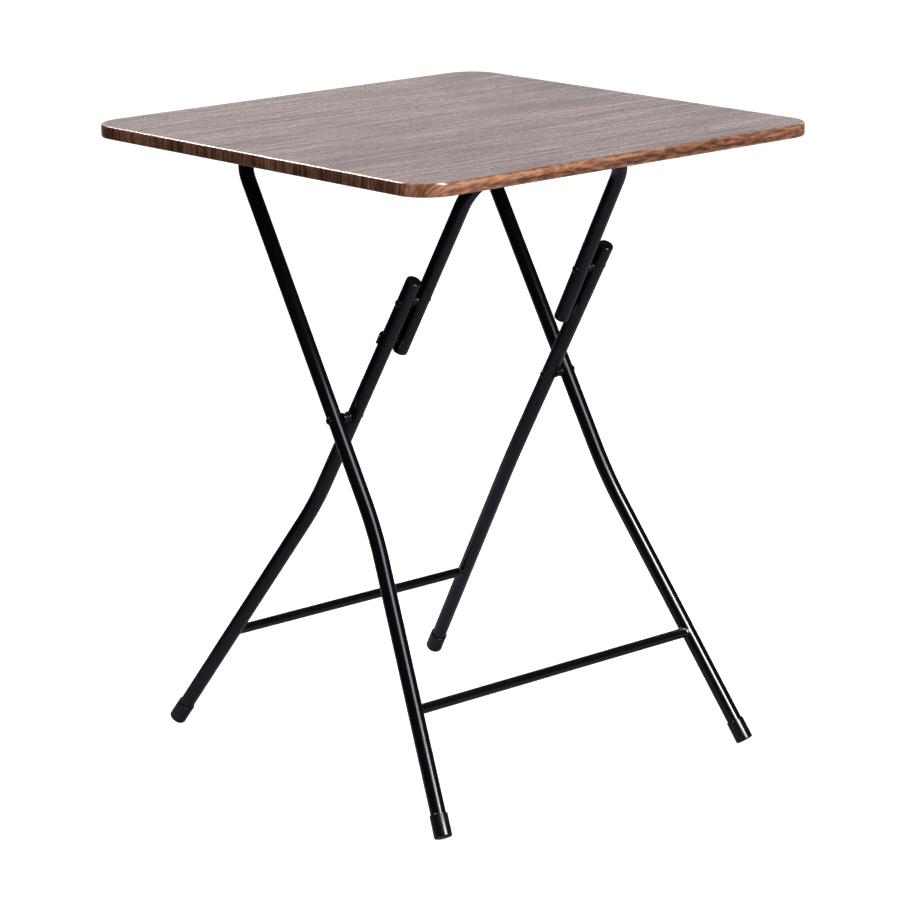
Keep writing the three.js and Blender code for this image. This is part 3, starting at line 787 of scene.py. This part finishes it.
def screw_grid(node):
    """Rings from the screw's tip up its shank, out under the head and over the head to its middle. The
    head's height at radius r is h (1 - (r / R)^4)^(1/2), less the recess of two crossed slots. Its rings
    are closest together near the rim."""
    low, high = (np.array(corner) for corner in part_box(node))
    centre = (low + high) / 2
    seat = low[2] + SCREW_HEAD_HEIGHT
    shank_radius = np.array([SCREW_TIP_RADIUS, SCREW_RADIUS, SCREW_RADIUS])
    shank_height = np.array([high[2], high[2] - SCREW_POINT, seat]) - seat
    share = np.concatenate([SCREW_RIM_SHARES, SCREW_FACE_SHARES])
    bulge = SCREW_HEAD_HEIGHT * np.sqrt(1 - share**4)
    head = upright_rings(share * SCREW_HEAD_RADIUS, -bulge)
    x, y = head[..., 0], head[..., 1]
    head[..., 2] += RECESS_DEPTH * np.maximum(cross_slot(y, x), cross_slot(x, y))
    shank = upright_rings(shank_radius, shank_height)
    return np.concatenate([shank, head]) + (centre[0], centre[1], seat)


def dark_steel_finish(name, base, worn, metallic, roughness):
    """Blackened steel: a mottled dark skin, brighter where it is thin, with fine tooling marks."""
    material, tree, shader = new_finish(name, Metallic=metallic, IOR=1.5)
    where, marks = marked_place(tree)
    mottle = stretched_noise(tree, where, (1300, 1300, 1300), detail=3)
    colour = mixed(tree, weighted(tree, mottle, 0.5, 0.8, share=0.45), base, worn)
    rough = (roughness - 0.04, roughness + 0.06)
    set_surface(tree, shader, colour, marks["Clouds"], rough, mottle, depth=0.00004, strength=0.5)
    return material


black_zinc = dark_steel_finish("black_zinc", ZINC_BLACK, ZINC_WORN, metallic=0.8, roughness=0.34)

for arch_name in ("outer", "strut"):
    for label in SIDES:
        for place in ("front", "rear"):
            node = f"{arch_name}_hinge_screw_{label}_{place}"
            screw = skin(f"{arch_name}_saddle_screw_{label}_{place}", screw_grid(node), black_zinc)
            join(screw, "tabletop", "black_screw", node)


# ---- Knee pivots ----
# At each knee one rivet goes through the strut, a nylon spacer and the inner leg, and is headed over on
# both outer faces. The spacer keeps the two tubes apart while they turn.

PIN_RADIUS = 0.003
PIN_HEAD_RADIUS = 0.0045
PIN_HEAD_HEIGHT = 0.0022
PIN_RIM = PIN_HEAD_HEIGHT / 4
PIN_UNDER_RADIUS = 0.93 * PIN_HEAD_RADIUS
PIN_HEAD_STEPS = 12
POLE_OPENING = 0.03
ROUND_SIDES = 40
KNEE_SPACER_RADIUS = 0.006
SPACER_FLANGE = 0.0018
SPACER_ARRIS = 0.0004
SPACER_WAIST_DEPTH = 0.0014
CORNER_CUT = 0.3
RIVET_BLACK = (0.007, 0.007, 0.008, 1)
RIVET_WORN = (0.060, 0.058, 0.056, 1)
NYLON_BLACK = (0.0030, 0.0030, 0.0032, 1)
NYLON_BLOOM = (0.0080, 0.0080, 0.0085, 1)
ACROSS = np.array([1.0, 0.0, 0.0])
NEARLY_UPRIGHT = 0.9


def turned(name, profile, start, way, finish):
    """A profile of distance and radius pairs turned about a line from a point: point = start + distance x
    way + radius (cos t x first normal + sin t x second normal)."""
    profile = np.array(profile)
    way = unit(np.array(way, float))
    aside = (0.0, 0.0, 1.0) if abs(way[2]) < NEARLY_UPRIGHT else (1.0, 0.0, 0.0)
    first = unit(np.cross(way, aside))
    second = np.cross(way, first)
    t = np.linspace(0, 2 * math.pi, ROUND_SIDES, endpoint=False)
    ring = np.cos(t)[:, None] * first + np.sin(t)[:, None] * second
    along = start + profile[:, :1] * way
    return skin(name, along[:, None, :] + profile[:, 1, None, None] * ring[None], finish)


def rivet_head(seat, sign):
    """Distance and radius pairs of a head from its rim to its tip: an upright rim with its lower corner
    cut off, then a quarter of an ellipse, with a pinhole at its pole that the end face fills."""
    turn = np.linspace(0, math.pi / 2 - POLE_OPENING, PIN_HEAD_STEPS)
    distance = PIN_RIM + (PIN_HEAD_HEIGHT - PIN_RIM) * np.sin(turn)
    crown = np.column_stack([seat + sign * distance, PIN_HEAD_RADIUS * np.cos(turn)])
    rim = [(seat, PIN_UNDER_RADIUS), (seat + sign * PIN_RIM * CORNER_CUT, PIN_HEAD_RADIUS)]
    return np.concatenate([rim, crown])


def moulded_finish(name, base, bloom, rough, tooth, depth):
    """Moulded black nylon or rubber: a faint grey bloom in clouds over a fine moulded tooth."""
    material, tree, shader = new_finish(name, IOR=1.5)
    where, marks = marked_place(tree)
    colour = mixed(tree, arithmetic(tree, "MULTIPLY", marks["Clouds"], 0.6), base, bloom)
    grain = stretched_noise(tree, where, (tooth, tooth, tooth), detail=3)
    set_surface(tree, shader, colour, marks["Clouds"], rough, grain, depth, strength=0.6)
    return material


black_rivet = dark_steel_finish("black_rivet_steel", RIVET_BLACK, RIVET_WORN, 0.5, 0.16)
black_nylon = moulded_finish("black_nylon", NYLON_BLACK, NYLON_BLOOM, (0.14, 0.20), 1500, 0.00002)


def crosswise(node, pivot, way):
    """Where a node starts on a pivot's line, going one way across the table, and how long it is."""
    low, high = (np.array(corner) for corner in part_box(node))
    near = low[0] if way > 0 else high[0]
    return np.array([near, pivot[1], pivot[2]]), high[0] - low[0]


def spacer_profile(length, radius):
    """A short spool: a flange with cut arrises at each end and a thinner waist between them. One half is
    worked out from its end, and the other is its mirror image."""
    arris, cut = SPACER_ARRIS, SPACER_ARRIS * CORNER_CUT
    half = [
        (0, radius - arris),
        (cut, radius - cut),
        (arris, radius),
        (SPACER_FLANGE - arris, radius),
        (SPACER_FLANGE - cut, radius - cut),
        (SPACER_FLANGE, radius - arris),
        (SPACER_FLANGE + arris, radius - SPACER_WAIST_DEPTH),
    ]
    return half + [(length - distance, reach) for distance, reach in half[::-1]]


for label, side in SIDES.items():
    node = f"knee_rivet_{label}"
    span = crosswise(node, knee, side)[1] - 2 * PIN_HEAD_HEIGHT
    inner_face = middle(node) - (side * span / 2, 0, 0)
    shank = [(0, PIN_RADIUS), (span, PIN_RADIUS)]
    profile = np.concatenate([rivet_head(0, -1)[::-1], shank, rivet_head(span, 1)])
    pin = turned(f"knee_pin_{label}", profile, inner_face, ACROSS * side, black_rivet)
    join(pin, "strut", "black_rivet", node)

    node = f"knee_collar_{label}"
    start, length = crosswise(node, knee, side)
    profile = spacer_profile(length, KNEE_SPACER_RADIUS)
    spacer = turned(f"knee_spacer_{label}", profile, start, ACROSS * side, black_nylon)
    join(spacer, "strut", "black_plastic", node)


# ---- Scissor pivots ----
# Where the legs cross, a rivet through the outer leg and a shoulder spacer on the inner leg share one
# line. The outer leg keeps the headed half of the rivet, and the inner leg its tail and the spacer.

SCISSOR_SPACER_RADIUS = 0.0066


def half_pin(name, node, way):
    """One half of the scissor rivet, from where it is parted to its head, going one way across."""
    start, length = crosswise(node, scissor, way)
    span = length - PIN_HEAD_HEIGHT
    profile = np.concatenate([[(0, PIN_RADIUS), (span, PIN_RADIUS)], rivet_head(span, 1)])
    return turned(name, profile, start, ACROSS * way, black_rivet)


for label, side in SIDES.items():
    node = f"scissor_rivet_head_{label}"
    join(half_pin(f"scissor_pin_head_{label}", node, side), "outer_legs", "black_rivet", node)

    node = f"scissor_rivet_tail_{label}"
    join(half_pin(f"scissor_pin_tail_{label}", node, -side), "inner_legs", "black_rivet", node)

    node = f"scissor_collar_{label}"
    start, length = crosswise(node, scissor, side)
    profile = spacer_profile(length, SCISSOR_SPACER_RADIUS)
    spacer = turned(f"scissor_spacer_{label}", profile, start, ACROSS * side, black_nylon)
    join(spacer, "inner_legs", "black_plastic", node)


# ---- Locking clips ----
# A hook of spring strip is riveted to the outer face of each strut arm near its end. When the knee goes
# past straight it snaps over the inner leg from behind and keeps the table open.

KNEE_TO_CLIP = 0.0585
CLIP_GAUGE = 0.0024
CLIP_LENGTH = 0.014
CLIP_CLEARANCE = 0.0005
CLIP_FACE_GAP = 0.0003
CLIP_WRAP_START = math.radians(148)
CLIP_WRAP_END = math.radians(26)
CLIP_WRAP_STEPS = 34
CLIP_TAB_BELOW = 0.0065
CLIP_TAB_ABOVE = 0.0030
CLIP_CORNER = 0.003
CLIP_CORNER_STEPS = 8
CLIP_END_CORNER = 0.0045
CLIP_ARRIS = 0.0005
CLIP_HEAD_RADIUS = 0.0028
CLIP_HEAD_HEIGHT = 0.0012
CLIP_HEAD_STEPS = 9
CLIP_PIN_RADIUS = 0.0016
CLIP_PIN_INSIDE = 0.002
CLIP_POLE_OPENING = 0.04


def clip_frame(side):
    """Where the clip sits on its strut arm, its outward, across and along directions, and how far outward
    and across the middle of the inner leg lies."""
    _, at_knee, _, down = strut_points(side)
    up = inner_points(side)[3]
    outward = ACROSS * side
    across = -unit(np.cross(ACROSS, up))
    along = unit(np.cross(outward, across))
    seat = at_knee + down * KNEE_TO_CLIP
    leg = at_side(knee, INNER_KNEE_HALF, side) - up * KNEE_TO_CLIP - seat
    return seat, outward, across, along, leg @ outward, leg @ across


def clip_grid(side):
    """The strip's middle sheet: a tab up the strut's face, a bend, and an arc about the inner leg from one
    angle to another, carried along the leg, with round corners at the tip."""
    seat, outward, across, along, apart, offset = clip_frame(side)
    face = TUBE_RADIUS + CLIP_FACE_GAP + CLIP_GAUGE / 2
    hook_radius = TUBE_RADIUS + CLIP_CLEARANCE + CLIP_GAUGE / 2
    angle = np.linspace(CLIP_WRAP_START, CLIP_WRAP_END, CLIP_WRAP_STEPS)
    level = np.zeros(CLIP_WRAP_STEPS)
    arc = (apart, offset, 0) + hook_radius * np.column_stack([np.cos(angle), np.sin(angle), level])
    foot_of_tab = np.array([face, -CLIP_TAB_BELOW, 0.0])
    head_of_tab = np.array([face, CLIP_TAB_ABOVE, 0.0])
    tab, _ = bent_line([foot_of_tab, head_of_tab, arc[0]], [CLIP_CORNER], CLIP_CORNER_STEPS)
    line = np.concatenate([tab, arc[1:]])
    section = seat + line[:, :1] * outward + line[:, 1:2] * across
    run = np.concatenate([[0], np.cumsum(np.linalg.norm(np.diff(section, axis=0), axis=1))])
    half = tip_half_width(CLIP_LENGTH / 2, CLIP_END_CORNER, run[-1] - run)
    return section[:, None, :] + STRIP_SHARES[None, :, None] * half[:, None, None] * along


def clip_pin_profile():
    """A shank from inside the strut's wall out through the clip, then a low head: a quarter of an ellipse
    with a pinhole at its pole."""
    rim = TUBE_RADIUS + 2 * CLIP_FACE_GAP + CLIP_GAUGE
    inside = TUBE_RADIUS - TUBE_WALL - CLIP_PIN_INSIDE
    turn = np.linspace(0, math.pi / 2 - CLIP_POLE_OPENING, CLIP_HEAD_STEPS)
    crown = np.column_stack([rim + CLIP_HEAD_HEIGHT * np.sin(turn), CLIP_HEAD_RADIUS * np.cos(turn)])
    return np.concatenate([[(inside, CLIP_PIN_RADIUS), (rim, CLIP_PIN_RADIUS)], crown])


for label, side in SIDES.items():
    hook = sheet_metal(f"lock_hook_{label}", clip_grid(side), CLIP_GAUGE, CLIP_ARRIS, gloss_black)
    join(hook, "strut", "black_paint", f"locking_clip_{label}")
    seat = clip_frame(side)[0]
    pin = turned(f"hook_rivet_{label}", clip_pin_profile(), seat, ACROSS * side, black_rivet)
    join(pin, "strut", "black_rivet", f"clip_rivet_{label}")


# ---- End plugs ----
# Moulded plugs close the free tube ends: the tops of the inner legs and the lower ends of the strut arms.
# A stem is pushed into the bore, and the head covers the cut edge.

PLUG_HEAD = 0.0025
PLUG_STEM = 0.009
PLUG_CLEARANCE = 0.0003
PLUG_CHAMFER = 0.0008
PLUG_CORNER = 0.0014
PLUG_CROWN = 0.0004
PLUG_CROWN_SHARES = np.linspace(0.85, 0.02, 8)


def plug_profile():
    """A stem with a chamfered tip, then a head with a small upright rim, a rounded corner and a low crown
    that falls by its height x the square of a point's share of the radius."""
    stem = TUBE_RADIUS - TUBE_WALL - PLUG_CLEARANCE
    tip = [(-PLUG_STEM, stem - PLUG_CHAMFER), (-PLUG_STEM + PLUG_CHAMFER, stem)]
    under = [(0, stem), (0, TUBE_RADIUS)]
    turn = np.linspace(0, math.pi / 2, 7)
    rim = PLUG_HEAD - PLUG_CROWN - PLUG_CORNER
    flat = TUBE_RADIUS - PLUG_CORNER
    rounding = np.column_stack([rim + PLUG_CORNER * np.sin(turn), flat + PLUG_CORNER * np.cos(turn)])
    crown_height = PLUG_HEAD - PLUG_CROWN * PLUG_CROWN_SHARES**2
    crown = np.column_stack([crown_height, flat * PLUG_CROWN_SHARES])
    return np.concatenate([tip, under, rounding, crown])


for label, side in SIDES.items():
    _, _, top, up = inner_points(side)
    plug = turned(f"inner_leg_end_plug_{label}", plug_profile(), top, up, black_nylon)
    join(plug, "inner_legs", "black_plastic", f"inner_leg_plug_{label}")
    _, _, end, down = strut_points(side)
    plug = turned(f"strut_end_plug_{label}", plug_profile(), end, down, black_nylon)
    join(plug, "strut", "black_plastic", f"strut_plug_{label}")


# ---- Foot caps ----
# A soft black cap is pushed over each of the four feet to spare the floor. It is moulded rubber, open at
# the top round the tube, with a rounded base and a shallow ring in it.

CAP_BORE = 0.0093
CAP_LENGTH = 0.027
CAP_LIP = 0.0005
CAP_CHAMFER = 0.0002
RING_INNER = 0.0040
RING_OUTER = 0.0062
RING_SLOPE = 0.0004
RING_DEPTH = 0.0005
BASE_EDGE = 0.0003
PINHOLE = 0.0002
RUBBER_BLACK = (0.0020, 0.0020, 0.0022, 1)
RUBBER_BLOOM = (0.0055, 0.0055, 0.0060, 1)


def cap_profile():
    """Distance and radius pairs: over the base with its ring, round the base corner, up the outside, over
    the lip and down the bore to the floor of the cap. The end faces fill a pinhole in base and floor."""
    turn = np.linspace(0, math.pi / 2, 9)
    flat = CAP_RADIUS - CAP_ROUNDING
    base = [(0, PINHOLE), (0, RING_INNER)]
    ring = [(RING_DEPTH, RING_INNER + RING_SLOPE), (RING_DEPTH, RING_OUTER - RING_SLOPE), (0, RING_OUTER)]
    before_corner = [(0, flat - BASE_EDGE)]
    corner = np.column_stack([CAP_ROUNDING * (1 - np.cos(turn)), flat + CAP_ROUNDING * np.sin(turn)])
    lip_up = CAP_LENGTH - CAP_LIP * (1 - np.sin(turn))
    lip_in = CAP_RADIUS - CAP_LIP * (1 - np.cos(turn))
    lip = np.column_stack([lip_up, lip_in])
    bore = [
        (CAP_LENGTH, CAP_BORE + CAP_CHAMFER),
        (CAP_LENGTH - CAP_CHAMFER, CAP_BORE),
        (CAP_FLOOR, CAP_BORE),
        (CAP_FLOOR, PINHOLE),
    ]
    return np.concatenate([base, ring, before_corner, corner, lip, bore])


black_rubber = moulded_finish("black_rubber", RUBBER_BLACK, RUBBER_BLOOM, (0.20, 0.30), 1100, 0.00004)

feet = {
    "outer_left": (foot_left, bend_left),
    "outer_right": (foot_right, bend_right),
    "inner_left": (inner_feet[0], inner_bends[0]),
    "inner_right": (inner_feet[1], inner_bends[1]),
}
for label, (foot, bend) in feet.items():
    base, up = cap_base(foot, bend)
    cap = turned(f"foot_{label}", cap_profile(), base, up, black_rubber)
    legs, hand = label.split("_")
    join(cap, f"{legs}_legs", "black_rubber", f"{legs}_foot_cap_{hand}")


# ---- Stage ----
# A wide pale floor and soft lamps. A key and one overhead light the table and aren't mirrored. The rest
# are only mirrored: strips that draw lines on the tubes, small ones for the top's arris and corner, and a
# broad pale screen behind the table for its satin face.

FLOOR_HALF = 40.0
FLOOR_DROP = 0.0003
FLOOR_GLOW = 0.72
FLOOR_PALE = (0.92, 0.92, 0.92, 1)
FLOOR_PALER = (0.95, 0.95, 0.95, 1)
FLOOR_MIRRORED = (0.28, 0.28, 0.36, 1)
FLOOR_SHADED = (0.03, 0.03, 0.03, 1)
SHADE_FROM, SHADE_TO = -1.1, -0.2
SURROUND_FILL = 0.42
SURROUND_MIRRORED = 0.03
AIM = np.array([0.0, 0.0, 0.45])
CAMERA_PLACE = (-2.59327, -2.97676, 1.38127)
CAMERA_YAW = 0.7152
CAMERA_PITCH = 0.2529
CAMERA_ROLL = -0.0130
LENS = 137.92
SENSOR_WIDTH = 36


def floor_material():
    """Pale matt floor with a barely visible mottle. It glows a little for the eye, but lends no such light
    to the table, and away to the left it is shaded for everything that mirrors it."""
    material, tree, shader = new_finish("pale_floor", IOR=1.3, Specular_IOR_Level=0.0, Roughness=0.9)
    where = add_node(tree, "TexCoord").outputs["Object"]
    seen = add_node(tree, "LightPath").outputs["Is Camera Ray"]
    mottle = stretched_noise(tree, where, (3, 3, 3), detail=3)
    pale = mixed(tree, mottle, FLOOR_PALE, FLOOR_PALER)
    across = add_node(tree, "SeparateXYZ", {"Vector": where}).outputs["X"]
    shade = between(tree, across, SHADE_FROM, SHADE_TO)
    dim = mixed(tree, shade, FLOOR_SHADED, FLOOR_MIRRORED)
    tree.links.new(mixed(tree, seen, dim, pale), shader.inputs["Base Color"])
    shader.inputs["Emission Color"].default_value = (1, 1, 1, 1)
    glow = arithmetic(tree, "MULTIPLY", seen, FLOOR_GLOW)
    tree.links.new(glow, shader.inputs["Emission Strength"])
    return material


square = np.array([(-1, -1), (1, -1), (1, 1), (-1, 1)]) * FLOOR_HALF
floor_points = np.column_stack([square, np.full(4, -FLOOR_DROP)])
floor = mesh_object("floor", floor_points, [[0, 1, 2, 3]], floor_material())


def soft_lamp(name, where, size, radiance, tint=(1, 1, 1), mirrored=True, lights=True):
    """A rectangular lamp facing the table. Where it stands is azimuth from +Y towards +X, elevation and
    distance. Its power is radiance x pi x area. It may be left out of reflections, or only be mirrored."""
    azimuth, elevation = math.radians(where[0]), math.radians(where[1])
    level = math.cos(elevation)
    away = np.array([math.sin(azimuth) * level, math.cos(azimuth) * level, math.sin(elevation)])
    light = bpy.data.lights.new(name, "AREA")
    light.shape = "RECTANGLE"
    light.size, light.size_y = size
    light.energy = radiance * math.pi * size[0] * size[1]
    light.color = tint
    lamp = bpy.data.objects.new(name, light)
    side = unit(np.cross((0, 0, 1), away))
    pose = np.eye(4)
    pose[:3, 0], pose[:3, 1], pose[:3, 2] = side, np.cross(away, side), away
    pose[:3, 3] = AIM + away * where[2]
    lamp.matrix_world = Matrix(pose.tolist())
    lamp.visible_camera = False
    lamp.visible_glossy = mirrored
    lamp.visible_diffuse = lights
    bpy.context.scene.collection.objects.link(lamp)


soft_lamp("right_key", (184, 20, 3.2), (1.0, 1.0), 29, mirrored=False)
soft_lamp("right_strip", (184, 30, 3.2), (1.5, 2.2), 6.0, (0.88, 0.91, 1.12), lights=False)
soft_lamp("low_strip", (177, 21, 3.2), (0.8, 1.0), 42, lights=False)
soft_lamp("overhead_lamp", (-8, 57, 3.0), (0.9, 2.4), 8, mirrored=False)
soft_lamp("arris_lamp", (-12, 46, 3.0), (1.8, 0.9), 34, lights=False)
soft_lamp("corner_lamp", (158, 68, 3.0), (0.6, 0.6), 150, lights=False)
soft_lamp("back_screen", (41, 16, 5.0), (6.0, 1.9), 1.07, (0.98, 0.99, 1.04), lights=False)

# The surround is white to the eye, nearly dark to what mirrors it, and a dim fill for everything else.
world = bpy.data.worlds.new("studio")
bpy.context.scene.world = world
world.use_nodes = True
surround = world.node_tree.nodes["Background"]
surround.inputs["Color"].default_value = (1, 1, 1, 1)
rays = add_node(world.node_tree, "LightPath").outputs
unseen = between(world.node_tree, rays["Is Glossy Ray"], 0, 1, SURROUND_FILL, SURROUND_MIRRORED)
strength = arithmetic(world.node_tree, "MAXIMUM", unseen, rays["Is Camera Ray"])
world.node_tree.links.new(strength, surround.inputs["Strength"])

bpy.context.scene.view_settings.view_transform = "Standard"
bpy.context.scene.view_settings.look = "None"

# The camera looks along forward, and its roll turns right and upward about that line.
level_forward = np.array([math.sin(CAMERA_YAW), math.cos(CAMERA_YAW), 0.0])
level_right = np.array([math.cos(CAMERA_YAW), -math.sin(CAMERA_YAW), 0.0])
forward = level_forward * math.cos(CAMERA_PITCH) - np.array([0.0, 0.0, math.sin(CAMERA_PITCH)])
level_up = np.cross(level_right, forward)
right = level_right * math.cos(CAMERA_ROLL) + level_up * math.sin(CAMERA_ROLL)
upward = level_up * math.cos(CAMERA_ROLL) - level_right * math.sin(CAMERA_ROLL)
pose = np.eye(4)
pose[:3, 0], pose[:3, 1], pose[:3, 2], pose[:3, 3] = right, upward, -forward, CAMERA_PLACE
camera = bpy.data.objects.new("camera", bpy.data.cameras.new("camera"))
camera.data.sensor_width = SENSOR_WIDTH
camera.data.lens = LENS
camera.matrix_world = Matrix(pose.tolist())
bpy.context.scene.collection.objects.link(camera)
bpy.context.scene.camera = camera
